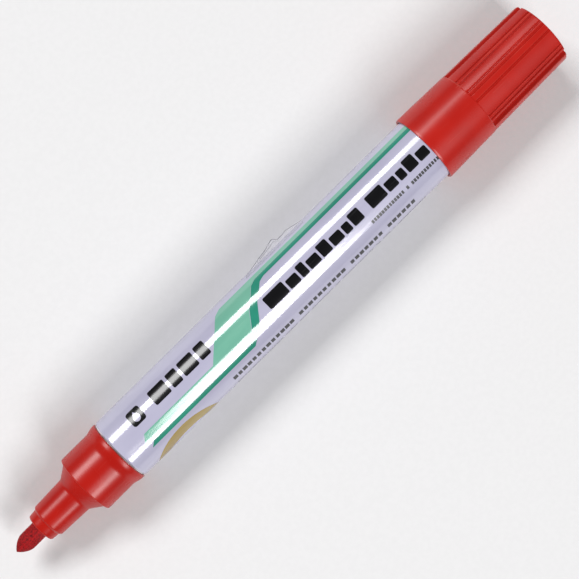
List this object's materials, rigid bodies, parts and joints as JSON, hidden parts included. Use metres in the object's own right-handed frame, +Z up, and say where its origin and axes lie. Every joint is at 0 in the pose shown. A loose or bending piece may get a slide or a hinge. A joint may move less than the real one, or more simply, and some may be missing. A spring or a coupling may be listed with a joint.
{
  "type": "whiteboard marker",
  "caption": "Round aluminium-barrelled whiteboard marker with a bullet fibre nib in a stepped holder and its ribbed push-on cap posted on the rear.",
  "frame": {"origin": "under the middle of the pen's length, on the surface that the lip of the posted cap touches", "axes": "+X along the pen from the nib towards the closed end of the posted cap, +Z up through the printed side, +Y to the left of the pen seen from behind the nib"},
  "size_m": [0.1548, 0.0164, 0.0165],
  "materials": {
    "barrel_aluminium": "bare drawn aluminium, satin",
    "printed_film": "glossy pale lavender film with green, gold and black print",
    "red_plastic": "moulded, semi-gloss",
    "nib_fibre": "bonded fibre soaked in red ink",
    "reservoir_fibre": "loose fibre bundle, inked",
    "clear_film": "thin clear wrap",
    "inner_cap_plastic": "milky, soft matt"
  },
  "bodies": {
    "barrel": {"barrel_tube": "barrel_aluminium", "wrap_label": "printed_film", "front_section": "red_plastic", "nib": "nib_fibre", "ink_reservoir": "reservoir_fibre", "reservoir_sheath": "clear_film"},
    "cap": {"cap_shell": "red_plastic", "inner_cap": "inner_cap_plastic"}
  },
  "joints": [
    {"name": "cap_pull", "type": "slide", "parent": "barrel", "child": "cap", "axis": [1, 0, 0], "range_m": [0, 0.03]}
  ]
}
